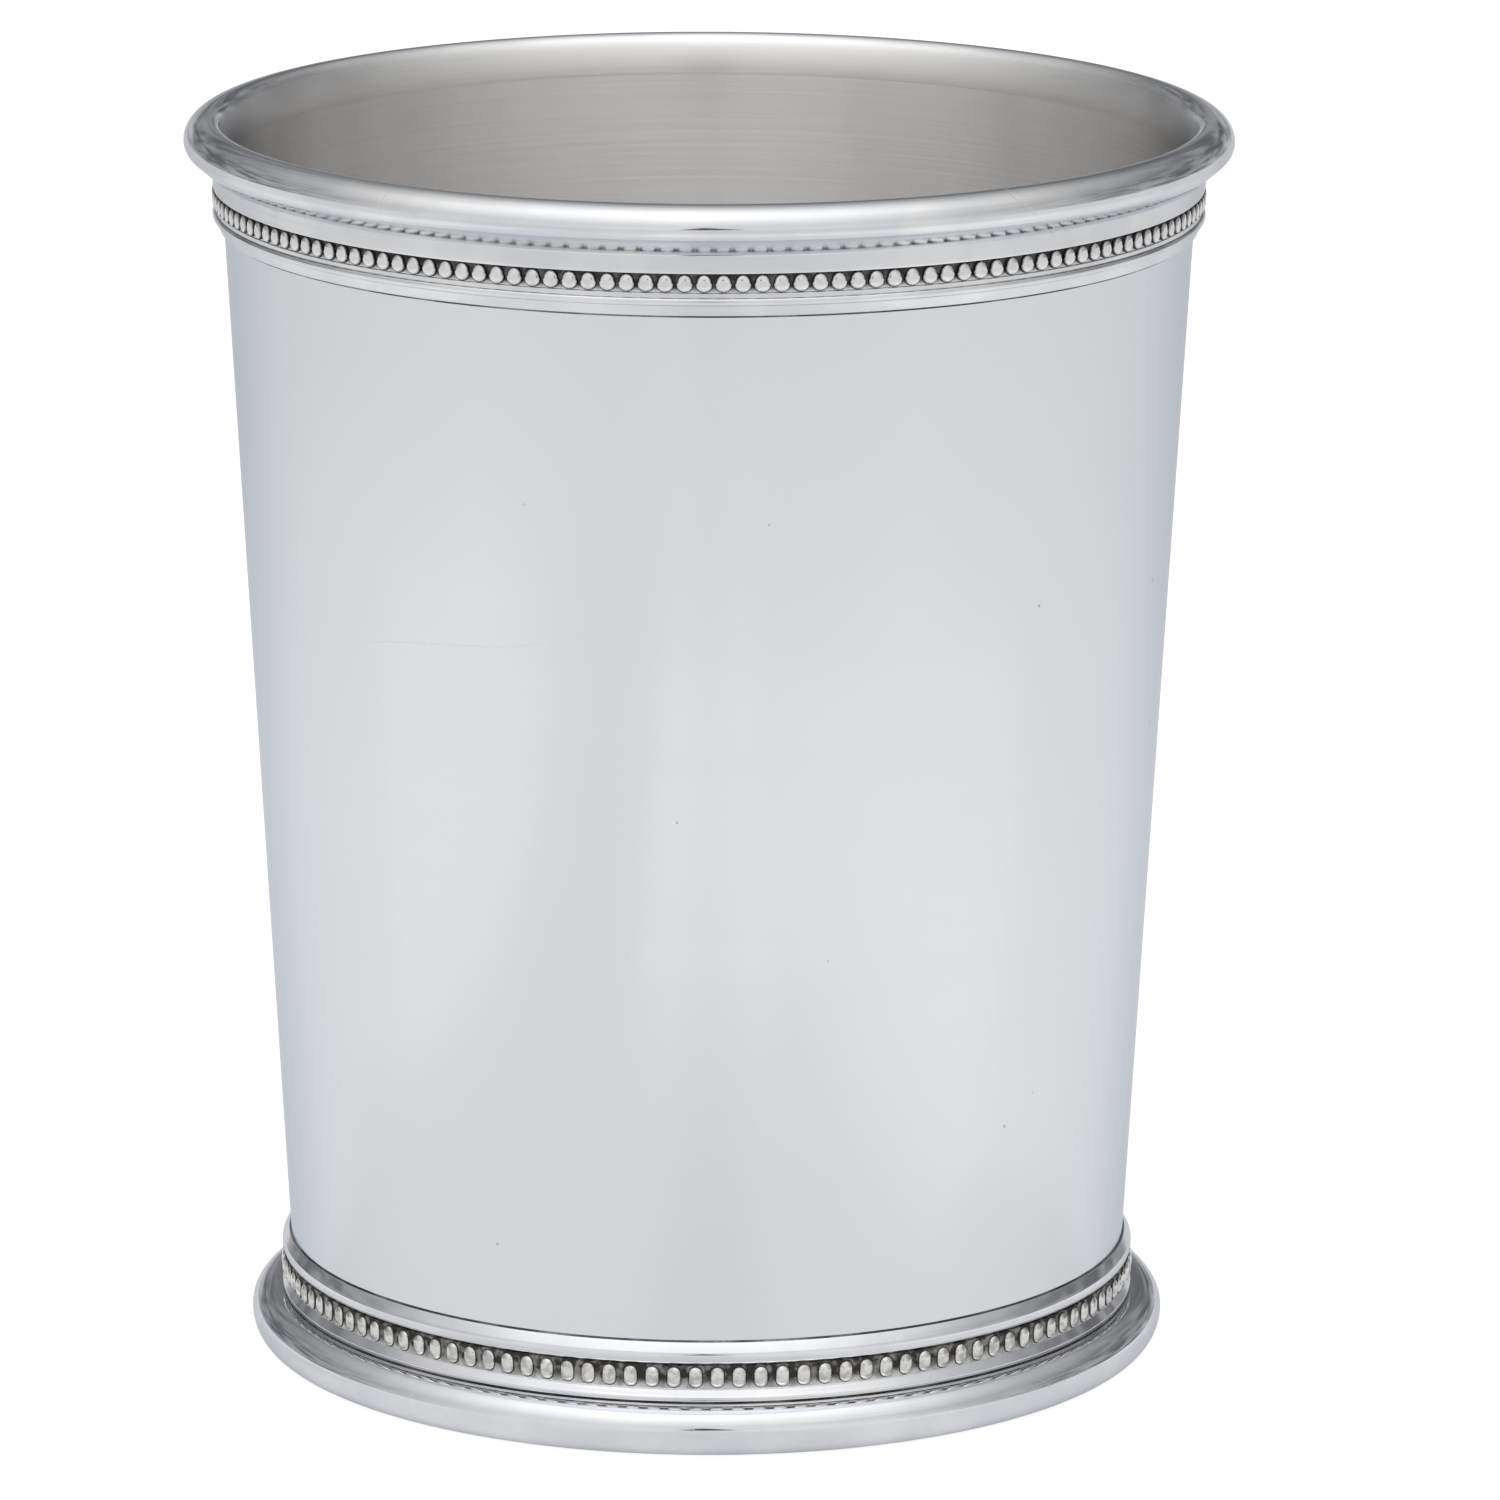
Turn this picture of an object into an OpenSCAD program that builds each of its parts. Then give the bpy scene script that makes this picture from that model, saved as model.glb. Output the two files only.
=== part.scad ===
// Julep cup: a tapered sheet wall with a let-in floor, a rolled lip over a beaded rim band,
// and a beaded foot band standing on a heavy half-round foot ring. Everything turns about Z,
// and the cup stands on z = 0.

/* [Cup] */
// Height of the whole cup, from the table to the crest of the lip
cup_h = 101.6; // [90:0.1:115]
// Outside diameter of the wall at its top edge
mouth_d = 78.9; // [70:0.1:88]
// Outside diameter of the wall at its bottom edge
base_d = 68; // [60:0.1:76]
// Thickness of the wall, measured level
wall_t = 1; // [0.7:0.05:1.6]
// Gap that the solder fills between the wall and what is sleeved on it
fit_gap = 0.05; // [0.02:0.01:0.1]

/* [Floor] */
// Thickness of the floor disc
floor_t = 1.2; // [0.8:0.1:2.5]
// Leg of the solder fillet round the floor
floor_solder_w = 0.6; // [0.3:0.05:1]

/* [Lip] */
// How far the lip stands out past the top edge of the wall
lip_out = 2.9; // [2.5:0.05:3.6]
// Level distance from the crest of the lip to its outermost line
lip_crest_w = 2.1; // [1.6:0.05:2.4]
// Height of the crest above the outermost line
lip_rise = 1.8; // [1.2:0.05:2.4]
// Drop from the outermost line to the lower edge of the lip
lip_drop = 2.15; // [1.4:0.05:2.6]
// Level distance from the outermost line to the lower edge of the lip
lip_under_w = 1.9; // [1.5:0.05:2.2]
// Level half width of the nose that turns the lip under
lip_nose_w = 0.6; // [0.4:0.05:0.8]
// Half height of that nose
lip_nose_h = 0.9; // [0.6:0.05:1.1]
// Turn of the nose, in degrees, before the underside runs straight
lip_turn = 60; // [45:1:75]
// How far the lip laps down over the top edge of the wall
lip_lap = 0.65; // [0.3:0.05:1.2]

/* [Rim band] */
// Height of the rim band
rim_band_h = 4.95; // [4.4:0.05:6]
// Thickness of the rim band at its top edge
rim_band_t = 0.6; // [0.55:0.05:1.1]
// Thickness of the rim band at its lower edge
rim_edge_t = 0.3; // [0.25:0.05:0.5]
// Height of the plain fillet under the lip
rim_fillet_h = 1.55; // [1.2:0.05:1.8]
// Height of the channel that holds the rim beads
rim_channel_h = 1.55; // [1.5:0.05:1.7]
// Depth of the channel that holds the rim beads
rim_channel_deep = 0.45; // [0.3:0.05:0.5]
// Height of the reed under the rim beads
rim_reed_h = 0.6; // [0.4:0.05:0.8]
// How far the reed of the rim band swells
rim_reed_swell = 0.12; // [0.1:0.02:0.3]
// How far the fillet of the rim band swells
rim_fillet_swell = 0.05; // [0.03:0.01:0.2]

/* [Rim beads] */
// Number of beads round the rim
rim_bead_n = 167; // [120:1:170]
// Width of a rim bead
rim_bead_w = 1.42; // [0.9:0.02:1.44]
// Height of a rim bead
rim_bead_h = 1.5; // [1.45:0.05:1.5]
// How far a rim bead stands proud of the rim band
rim_bead_proud = 0.06; // [0:0.02:0.2]

/* [Foot band] */
// Height of the foot band
foot_band_h = 4.84; // [4.6:0.02:5.6]
// Thickness of the foot band at its lower edge
foot_band_t = 0.95; // [0.85:0.05:1.3]
// Height of the reed above the foot beads
foot_reed_h = 1.74; // [1.5:0.02:1.86]
// Height of the round nose of that reed
foot_nose_h = 1.3; // [1:0.05:1.4]
// How far the nose swells
foot_nose_swell = 0.4; // [0.2:0.02:0.44]
// Turn of the nose, in degrees, before the reed slopes straight to its top edge
foot_nose_turn = 35; // [20:1:50]
// How far the top edge of the reed lies in from its widest line
foot_reed_set = 0.56; // [0.4:0.02:0.6]
// Height of the channel that holds the foot beads
foot_channel_h = 2.08; // [1.96:0.02:2.14]
// Depth of the channel that holds the foot beads
foot_channel_deep = 0.45; // [0.3:0.05:0.5]
// How far the sloped fillet below the foot beads stands out past the band
foot_fillet_out = 0.02; // [0:0.02:0.1]
// Height of the upright edge under that slope
foot_fillet_edge_h = 0.3; // [0.2:0.05:0.5]
// How far the neck under the fillet lies in from the band
foot_neck_set = 0.12; // [0.1:0.02:0.3]

/* [Foot beads] */
// Number of beads round the foot
foot_bead_n = 126; // [100:1:140]
// Width of a foot bead
foot_bead_w = 1.3; // [0.9:0.02:1.4]
// Height of a foot bead
foot_bead_h = 1.9; // [1.6:0.05:1.95]
// How far a foot bead stands proud of the foot band
foot_bead_proud = 0.1; // [0:0.02:0.2]

/* [Foot ring] */
// Height of the foot ring
foot_h = 3.95; // [3.4:0.05:5]
// How far the foot ring stands out past the bottom edge of the wall
foot_out = 3.6; // [3.3:0.05:4.5]
// Height of the widest line of the foot ring
foot_wide_z = 2.1; // [1.6:0.05:2.4]
// Level distance from the widest line to the edge of the land on top
foot_top_w = 2; // [1.4:0.05:2.3]
// Level distance from the widest line to the edge of the resting face
foot_rest_w = 1.6; // [1:0.05:2.4]
// Depth of the rebate that holds the wall and the floor
foot_rebate = 1.55; // [1:0.05:2]
// Width of the ledge that carries the floor inside the wall
ledge_w = 1; // [0.6:0.05:2]

/* [Solder] */
// Leg of the solder fillets along the seams
solder_w = 0.1; // [0.08:0.02:0.14]

/* [Hidden] */

// Facets of a full turn and of a bead, and steps along each quarter of an oval outline
$fn = 96;
bead_facets = 24;
arc_steps = 8;
// Facets of a bead row's wire for each bead that it carries
wire_facets = 4;

// Thickness of the wire that joins the beads of a row
bead_wire_t = 0.15;

// Heights of the wall, the lip and the rim band
seat_z = foot_h - foot_rebate;
lip_wide_z = cup_h - lip_rise;
lip_low_z = lip_wide_z - lip_drop;
wall_top_z = lip_low_z + lip_lap;
rim_low_z = lip_low_z - rim_band_h;
rim_channel_top_z = lip_low_z - rim_fillet_h;
rim_channel_low_z = rim_channel_top_z - rim_channel_h;
rim_reed_low_z = rim_channel_low_z - rim_reed_h;

// Heights of the floor and the foot band
floor_top_z = seat_z + floor_t;
foot_band_top_z = foot_h + foot_band_h;
foot_channel_top_z = foot_band_top_z - foot_reed_h;
foot_channel_low_z = foot_channel_top_z - foot_channel_h;
foot_fillet_low_z = foot_h + solder_w;

// Outside and inside radius of the tapered wall at a height
function wall_r(z) = base_d / 2 + (mouth_d - base_d) / 2 * (z - seat_z) / (wall_top_z - seat_z);
function wall_in(z) = wall_r(z) - wall_t;
// Inside radius of what is sleeved on the wall
function sleeve_r(z) = wall_r(z) + fit_gap;

// Radii of the lip, the bands and the foot ring
lip_r = mouth_d / 2 + lip_out;
lip_crest_r = lip_r - lip_crest_w;
lip_low_r = lip_r - lip_under_w;
lip_bore_r = sleeve_r(wall_top_z);
rim_band_r = sleeve_r(lip_low_z) + rim_band_t;
rim_channel_r = rim_band_r - rim_channel_deep;
// The foot band grows out with a steep wall, so that its top edge still carries the solder
foot_band_r = max(sleeve_r(foot_h) + foot_band_t, wall_r(foot_band_top_z) + solder_w + foot_reed_set);
foot_channel_r = foot_band_r - foot_channel_deep;
foot_neck_r = foot_band_r - foot_neck_set;
foot_r = base_d / 2 + foot_out;
ledge_r = wall_in(seat_z) - ledge_w;

// Points along an oval, from one angle to another
function oval(centre, semi, from, to) =
    let (steps = ceil(abs(to - from) / 90) * arc_steps)
    [for (k = [0 : steps])
        let (a = from + (to - from) * k / steps)
        [centre[0] + semi[0] * cos(a), centre[1] + semi[1] * sin(a)]];

// Points of a half-round face that swells out to a radius between two heights
function half_round(r, swell, low_z, top_z) =
    oval([r - swell, (low_z + top_z) / 2], [swell, (top_z - low_z) / 2], -90, 90);

// A three-cornered solder fillet turned about Z: its corner, then its two legs
module solder_ring(corner, level_leg, wall_leg) {
    color("dimgray") rotate_extrude() polygon([corner, level_leg, wall_leg]);
}

// One upright bead with round ends
module bead(w, h) {
    straight = h - w;
    $fn = bead_facets;
    rotate_extrude() intersection() {
        union() {
            for (end = [-1, 1]) translate([0, end * straight / 2]) circle(d = w);
            square([w, straight], center = true);
        }
        translate([0, -h / 2]) square([w / 2, h]);
    }
}

// A row of beads standing on a flat wire that is wrapped round a channel floor
module bead_row(count, w, h, floor_r, outer_r, mid_z) {
    wire_r = floor_r + fit_gap;
    $fn = wire_facets * count;
    difference() {
        union() {
            translate([0, 0, mid_z - h / 2]) cylinder(r = wire_r + bead_wire_t, h = h);
            for (k = [0 : count - 1])
                rotate(k * 360 / count) translate([outer_r - w / 2, 0, mid_z]) bead(w, h);
        }
        translate([0, 0, mid_z - h]) cylinder(r = wire_r, h = 2 * h);
    }
}

module body_wall() {
    color("lightgray") rotate_extrude() polygon([
        [wall_in(seat_z), seat_z], [wall_r(seat_z), seat_z],
        [wall_r(wall_top_z), wall_top_z], [wall_in(wall_top_z), wall_top_z]]);
}

module floor_disc() {
    color("darkgray") translate([0, 0, seat_z])
        cylinder(h = floor_t, r1 = wall_in(seat_z) - fit_gap, r2 = wall_in(floor_top_z) - fit_gap);
}

module floor_solder() {
    solder_ring([wall_in(floor_top_z), floor_top_z],
                [wall_in(floor_top_z) - floor_solder_w, floor_top_z],
                [wall_in(floor_top_z + floor_solder_w), floor_top_z + floor_solder_w]);
}

module lip_ring() {
    color("silver") rotate_extrude() polygon(concat(
        [[lip_bore_r, lip_low_z]],
        [[lip_low_r, lip_low_z]],
        oval([lip_r - lip_nose_w, lip_wide_z], [lip_nose_w, lip_nose_h], -lip_turn, 0),
        oval([lip_crest_r, lip_wide_z], [lip_crest_w, lip_rise], 0, 90),
        oval([lip_crest_r, wall_top_z],
             [lip_crest_r - wall_in(wall_top_z), cup_h - wall_top_z], 90, 180),
        [[lip_bore_r, wall_top_z]]));
}

module rim_band() {
    color("silver") rotate_extrude() polygon(concat(
        [[sleeve_r(rim_low_z), rim_low_z], [sleeve_r(rim_low_z) + rim_edge_t, rim_low_z]],
        half_round(rim_band_r, rim_reed_swell, rim_reed_low_z, rim_channel_low_z),
        [[rim_channel_r, rim_channel_low_z], [rim_channel_r, rim_channel_top_z]],
        half_round(rim_band_r, rim_fillet_swell, rim_channel_top_z, lip_low_z),
        [[sleeve_r(lip_low_z), lip_low_z]]));
}

module rim_beads() {
    color("gainsboro") bead_row(rim_bead_n, rim_bead_w, rim_bead_h, rim_channel_r,
        rim_band_r + rim_bead_proud, (rim_channel_low_z + rim_channel_top_z) / 2);
}

module rim_solder() {
    solder_ring([wall_r(rim_low_z), rim_low_z],
                [wall_r(rim_low_z) + solder_w, rim_low_z],
                [wall_r(rim_low_z - solder_w), rim_low_z - solder_w]);
}

module foot_band() {
    fillet_r = foot_band_r + foot_fillet_out;
    nose_mid_z = foot_channel_top_z + foot_nose_h / 2;
    color("silver") rotate_extrude() polygon(concat(
        [[sleeve_r(foot_h), foot_h], [foot_neck_r, foot_h], [foot_neck_r, foot_fillet_low_z],
         [fillet_r, foot_fillet_low_z], [fillet_r, foot_fillet_low_z + foot_fillet_edge_h],
         [foot_channel_r, foot_channel_low_z], [foot_channel_r, foot_channel_top_z]],
        oval([foot_band_r - foot_nose_swell, nose_mid_z], [foot_nose_swell, foot_nose_h / 2],
             -90, foot_nose_turn),
        [[foot_band_r - foot_reed_set, foot_band_top_z], [sleeve_r(foot_band_top_z), foot_band_top_z]]));
}

module foot_beads() {
    color("gainsboro") bead_row(foot_bead_n, foot_bead_w, foot_bead_h, foot_channel_r,
        foot_band_r + foot_bead_proud, (foot_channel_low_z + foot_channel_top_z) / 2);
}

module foot_solder() {
    solder_ring([wall_r(foot_band_top_z), foot_band_top_z],
                [wall_r(foot_band_top_z) + solder_w, foot_band_top_z],
                [wall_r(foot_band_top_z + solder_w), foot_band_top_z + solder_w]);
}

module foot_ring() {
    color("silver") rotate_extrude() polygon(concat(
        [[ledge_r, 0]],
        oval([foot_r - foot_rest_w, foot_wide_z], [foot_rest_w, foot_wide_z], -90, 0),
        oval([foot_r - foot_top_w, foot_wide_z], [foot_top_w, foot_h - foot_wide_z], 0, 90),
        [[sleeve_r(foot_h), foot_h], [sleeve_r(seat_z), seat_z], [ledge_r, seat_z]]));
}

module base_solder() {
    solder_ring([foot_neck_r, foot_h], [foot_neck_r + solder_w, foot_h], [foot_neck_r, foot_fillet_low_z]);
}

body_wall();
floor_disc();
floor_solder();
lip_ring();
rim_band();
rim_beads();
rim_solder();
foot_band();
foot_beads();
foot_solder();
foot_ring();
base_solder();
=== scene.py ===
import math
import bpy
from mathutils import Matrix, Vector


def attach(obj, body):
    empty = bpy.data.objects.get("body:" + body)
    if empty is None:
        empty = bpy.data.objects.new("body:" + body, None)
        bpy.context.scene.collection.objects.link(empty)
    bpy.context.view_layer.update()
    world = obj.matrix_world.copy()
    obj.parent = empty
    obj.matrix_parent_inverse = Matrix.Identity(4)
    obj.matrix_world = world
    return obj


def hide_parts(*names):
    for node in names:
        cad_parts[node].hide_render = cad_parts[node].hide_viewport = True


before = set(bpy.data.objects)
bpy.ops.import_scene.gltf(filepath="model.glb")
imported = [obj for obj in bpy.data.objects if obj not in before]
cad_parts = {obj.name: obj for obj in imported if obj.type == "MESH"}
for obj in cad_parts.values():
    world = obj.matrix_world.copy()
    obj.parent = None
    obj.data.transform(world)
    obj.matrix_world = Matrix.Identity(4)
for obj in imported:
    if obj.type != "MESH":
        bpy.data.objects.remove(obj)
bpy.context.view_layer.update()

# Julep cup: a tapered satin wall with a let-in floor, a rolled lip over a beaded rim moulding,
# and a beaded foot moulding on a heavy half-round foot roll. Its sizes are in millimetres.
MM = 0.001
BODY = "root"

# Wall and floor
SEAT_Z = 2.4
WALL_TOP_Z = 98.3
WALL_BASE_R = 34.0
WALL_MOUTH_R = 39.45
WALL_T = 1.0
WALL_LEVELS = 32
FIT = 0.05
FLOOR_TOP_Z = 3.6
FLOOR_SEAM_W = 0.6
FLOOR_LEVELS = 12

# Rolled lip
CUP_H = 101.6
LIP_R = 42.35
LIP_CREST_W = 2.1
LIP_WIDE_Z = 99.8
LIP_LOW_R = 40.45
LIP_LOW_Z = 97.65
LIP_NOSE_W = 0.6
LIP_NOSE_H = 0.9
LIP_TURN = 60.0
LIP_CUT = 0.015

# Rim moulding and its beads
RIM_LOW_Z = 92.7
RIM_R = 40.063
RIM_EDGE_T = 0.3
RIM_REED_SWELL = 0.25
RIM_FILLET_SWELL = 0.05
RIM_REED_LOW_Z = 93.55
RIM_REED_TOP_Z = 94.2
RIM_CHANNEL_LOW_Z = 94.55
RIM_CHANNEL_TOP_Z = 96.1
RIM_CHANNEL_R = 39.613
RIM_BEADS = 167
RIM_BEAD_W = 1.42
RIM_BEAD_H = 1.5
RIM_BEAD_PROUD = 0.06

# Foot moulding and its beads
FOOT_TOP_Z = 8.79
FOOT_R = 35.088
FOOT_NOSE_H = 1.3
FOOT_NOSE_SWELL = 0.4
FOOT_NOSE_TURN = 35.0
FOOT_REED_SET = 0.56
FOOT_CHANNEL_TOP_Z = 7.05
FOOT_CHANNEL_LOW_Z = 4.97
FOOT_CHANNEL_R = 34.638
FOOT_FILLET_OUT = 0.02
FOOT_FILLET_EDGE_H = 0.3
FOOT_NECK_R = 34.968
FOOT_BEADS = 126
FOOT_BEAD_W = 1.3
FOOT_BEAD_H = 1.9
FOOT_BEAD_PROUD = 0.1

# Foot roll
ROLL_TOP_Z = 3.95
ROLL_R = 37.6
ROLL_WIDE_Z = 2.1
ROLL_TOP_W = 2.0
ROLL_REST_W = 1.6
LEDGE_R = 32.0

# Beads, wires and seams
WIRE_T = 0.15
SEAM_W = 0.1
# The mouldings' seams run along the wall past the solder's width, so that their near-black paint shows as
# a dark line of painted shade
RIM_SEAM_RUN = 0.19
FOOT_SEAM_RUN = 0.15
SEAM_SAG = 0.38
SEAM_STEPS = 8
BEAD_SINK = 0.05
BEAD_TAPER_STEPS = (0.0, 0.12, 0.24, 0.36)
RIM_BEAD_TAPER = 0.963
FOOT_BEAD_TAPER = 0.988
RIM_BEAD_CORNER = 0.66
FOOT_BEAD_CORNER = 0.60
BEAD_CORNER_STEPS = 3

# Each bead in rings from its root to its crown: share of its width, share of its rise
RIM_BEAD_RINGS = ((0.985, 0.30), (0.91, 0.60), (0.73, 0.85), (0.42, 0.97))
FOOT_BEAD_RINGS = ((0.94, 0.16), (0.82, 0.44), (0.61, 0.79), (0.34, 0.95))

# Fineness of the meshes
SECTORS = 12
SECTOR_STEPS = 60
OVAL_STEPS = 18
CORNER_CUT = 0.07
CORNER_CUT_MOST = 0.45
CORNER_STEPS = 4
SHARP_TURN = 12.0
SAME_POINT = 0.001
WELD = 1e-6
SMOOTH_ANGLE = math.radians(32.0)
BEAD_SMOOTH_ANGLE = math.radians(60.0)
CENTRE = (0.0, 0.0, 0.0)
UP = (0.0, 0.0, 1.0)


def wall_r(z):
    """Outside radius of the tapered wall at a height."""
    return WALL_BASE_R + (WALL_MOUTH_R - WALL_BASE_R) * (z - SEAT_Z) / (WALL_TOP_Z - SEAT_Z)


def wall_in(z):
    """Inside radius of the tapered wall at a height."""
    return wall_r(z) - WALL_T


def sleeve_r(z):
    """Inside radius of what is sleeved on the wall."""
    return wall_r(z) + FIT


# Outlines

def oval(centre, half, start, end):
    """Points along an oval, from one angle to another."""
    points = []
    for k in range(OVAL_STEPS + 1):
        a = math.radians(start + (end - start) * k / OVAL_STEPS)
        points.append((centre[0] + half[0] * math.cos(a), centre[1] + half[1] * math.sin(a)))
    return points


def half_round(r, swell, low_z, top_z):
    """Points of a face that swells out to a radius between two heights."""
    middle = (r - swell, (low_z + top_z) / 2)
    return oval(middle, (swell, (top_z - low_z) / 2), -90.0, 90.0)


def levels(start, end, count):
    """Points spaced evenly along a straight side, both ends included."""
    points = []
    for k in range(count + 1):
        share = k / count
        points.append((start[0] + (end[0] - start[0]) * share, start[1] + (end[1] - start[1]) * share))
    return points


def without_repeats(outline):
    """The outline with no point that lies on the one before it."""
    kept = []
    for point in outline:
        if not kept or math.dist(point, kept[-1]) > SAME_POINT:
            kept.append(point)
    if math.dist(kept[0], kept[-1]) < SAME_POINT:
        kept.pop()
    return kept


def bend(start, pull, end, t):
    """A point part of the way along a curve that leaves and ends towards its pull."""
    point = start * (1 - t) ** 2 + pull * 2 * t * (1 - t) + end * t ** 2
    return (point.x, point.y)


def softened(outline, cut=CORNER_CUT):
    """Rounds each corner of a closed outline that turns sharply, as buffing does."""
    outline = without_repeats(outline)
    rounded = []
    for k, here in enumerate(outline):
        corner = Vector(here)
        back = Vector(outline[k - 1]) - corner
        on = Vector(outline[(k + 1) % len(outline)]) - corner
        turn = 180.0 - math.degrees(back.angle(on))
        if turn < SHARP_TURN:
            rounded.append(here)
            continue
        start = corner + back.normalized() * min(cut, back.length * CORNER_CUT_MOST)
        end = corner + on.normalized() * min(cut, on.length * CORNER_CUT_MOST)
        for step in range(CORNER_STEPS + 1):
            rounded.append(bend(start, corner, end, step / CORNER_STEPS))
    return without_repeats(rounded)


# Modelling

def copy_round(count):
    """Repeats what is selected round the cup, so that there are so many in all."""
    bpy.ops.mesh.spin(
        dupli=True, steps=count - 1, angle=math.tau * (count - 1) / count, center=CENTRE, axis=UP)


def turned(name, outline):
    """Draws a closed outline of radius and height with vertex extrudes, and spins it about Z."""
    bpy.ops.object.select_all(action="DESELECT")
    bpy.ops.mesh.primitive_plane_add(size=MM)
    piece = bpy.context.object
    piece.name = name
    piece.data.name = name
    bpy.ops.object.mode_set(mode="EDIT")
    bpy.ops.mesh.select_all(action="SELECT")
    bpy.ops.mesh.merge(type="CENTER")
    r, z = outline[0]
    bpy.ops.transform.translate(value=(r * MM, 0.0, z * MM))
    for next_r, next_z in outline[1:] + outline[:1]:
        step = ((next_r - r) * MM, 0.0, (next_z - z) * MM)
        bpy.ops.mesh.extrude_vertices_move(TRANSFORM_OT_translate={"value": step})
        r, z = next_r, next_z
    bpy.ops.mesh.select_all(action="SELECT")
    bpy.ops.mesh.remove_doubles(threshold=WELD)
    bpy.ops.mesh.spin(steps=SECTOR_STEPS, angle=math.tau / SECTORS, center=CENTRE, axis=UP)
    bpy.ops.mesh.select_all(action="SELECT")
    copy_round(SECTORS)
    bpy.ops.mesh.select_all(action="SELECT")
    bpy.ops.mesh.remove_doubles(threshold=WELD)
    bpy.ops.mesh.normals_make_consistent(inside=False)
    bpy.ops.object.mode_set(mode="OBJECT")
    bpy.ops.object.shade_smooth_by_angle(angle=SMOOTH_ANGLE)
    return piece


def taper_bead(bead, mid_z, height, taper):
    """Narrows a bead towards its top, in steps, as the punch left it."""
    for share in BEAD_TAPER_STEPS:
        bpy.ops.object.mode_set(mode="OBJECT")
        for vertex in bead.data.vertices:
            vertex.select = vertex.co.z > (mid_z + share * height) * MM
        bpy.ops.object.mode_set(mode="EDIT")
        bpy.ops.transform.resize(value=(1.0, taper, 1.0), center_override=CENTRE)


def raise_bead(rings, rise, mid_z):
    """Extrudes a bead from its root to its crown, ring by ring."""
    width, height = 1.0, 0.0
    for next_width, next_height in rings:
        step = ((next_height - height) * rise * MM, 0.0, 0.0)
        bpy.ops.mesh.extrude_region_move(TRANSFORM_OT_translate={"value": step})
        narrow = next_width / width
        bpy.ops.transform.resize(value=(1.0, narrow, narrow), center_override=(0.0, 0.0, mid_z * MM))
        width, height = next_width, next_height
    bpy.ops.mesh.poke(offset=(1.0 - height) * rise * MM)


def bead_row(name, count, width, height, corner, floor_r, crown_r, mid_z, rings, taper):
    """A flat wire wrapped round a channel, with a row of domed beads on it."""
    wire_in = floor_r + FIT
    wire_out = wire_in + WIRE_T
    low_z, top_z = mid_z - height / 2, mid_z + height / 2
    section = [(wire_in, low_z), (wire_out, low_z), (wire_out, top_z), (wire_in, top_z)]
    wire = turned(name, softened(section))
    root_r = wire_out - BEAD_SINK
    bpy.ops.object.select_all(action="DESELECT")
    bpy.ops.mesh.primitive_plane_add(
        size=MM, location=(root_r * MM, 0.0, mid_z * MM), rotation=(0.0, math.pi / 2, 0.0))
    beads = bpy.context.object
    beads.scale = (height, width, 1.0)
    bpy.ops.object.transform_apply(location=True, rotation=True, scale=True)
    bpy.ops.object.mode_set(mode="EDIT")
    bpy.ops.mesh.select_all(action="SELECT")
    bpy.ops.mesh.bevel(affect="VERTICES", offset=corner * MM, segments=BEAD_CORNER_STEPS)
    bpy.ops.mesh.select_all(action="SELECT")
    raise_bead(rings, crown_r - root_r, mid_z)
    taper_bead(beads, mid_z, height, taper)
    bpy.ops.mesh.select_all(action="SELECT")
    bpy.ops.mesh.normals_make_consistent(inside=False)
    copy_round(count)
    bpy.ops.object.mode_set(mode="OBJECT")
    bpy.ops.object.shade_smooth_by_angle(angle=BEAD_SMOOTH_ANGLE)
    wire.select_set(True)
    bpy.context.view_layer.objects.active = wire
    bpy.ops.object.join()
    return wire


def seam(name, corner, level_leg, wall_leg):
    """A run of solder in a corner, with a hollow face."""
    start, end = Vector(level_leg), Vector(wall_leg)
    sag = start * SEAM_SAG + end * SEAM_SAG + Vector(corner) * (1.0 - 2 * SEAM_SAG)
    face = []
    for step in range(1, SEAM_STEPS):
        face.append(bend(start, sag, end, step / SEAM_STEPS))
    return turned(name, without_repeats([corner, level_leg] + face + [wall_leg]))


def finish_piece(piece, node, slot, *materials):
    """Dresses a piece and puts it in the place of its CAD node."""
    piece.data.materials.clear()
    for material in materials:
        piece.data.materials.append(material)
    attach(piece, BODY)
    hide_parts(node)


# Materials

# Noise and scratches that the metals share
NOISE_DETAIL = 2.0
NOISE_MIDDLE = (0.3, 0.7)
NOISE_MOST = (0.2, 0.8)
SCRATCH_CORE = 0.4
SCRATCH_PATCHES = 0.7
SCRATCH_SHIFT = 11.0
SCRATCH_EDGE = 0.08

# Satin outside. Marks are scales along and across them; weights add up to the relief
SATIN_FINE = (60.0, 5200.0)
SATIN_BROAD = (12.0, 420.0)
SATIN_PATCHES = 26.0
SATIN_PITS = (420.0, 0.07, 0.05)
SATIN_SCRATCHES = (24.0, 0.0022, 0.42)
SATIN_DIM = (0.915, 0.923, 0.945)
SATIN_LIGHT = (0.94, 0.948, 0.968)
SATIN_GLINT = (0.955, 0.962, 0.975)
SATIN_GLINT_MOST = 0.2
SATIN_PIT = (0.33, 0.32, 0.30)
SATIN_PIT_SHARE = 0.5
SATIN_ROUGH = (0.20, 0.24)
SATIN_DRIFT = 0.01
SATIN_SCRATCH_ROUGH = 0.12
SATIN_EDGE = (0.745, 0.78, 0.835, 1.0)
SATIN_WEIGHTS = (0.05, 0.6, -2.0, -0.25)
SATIN_DEPTH = 0.000012

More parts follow.
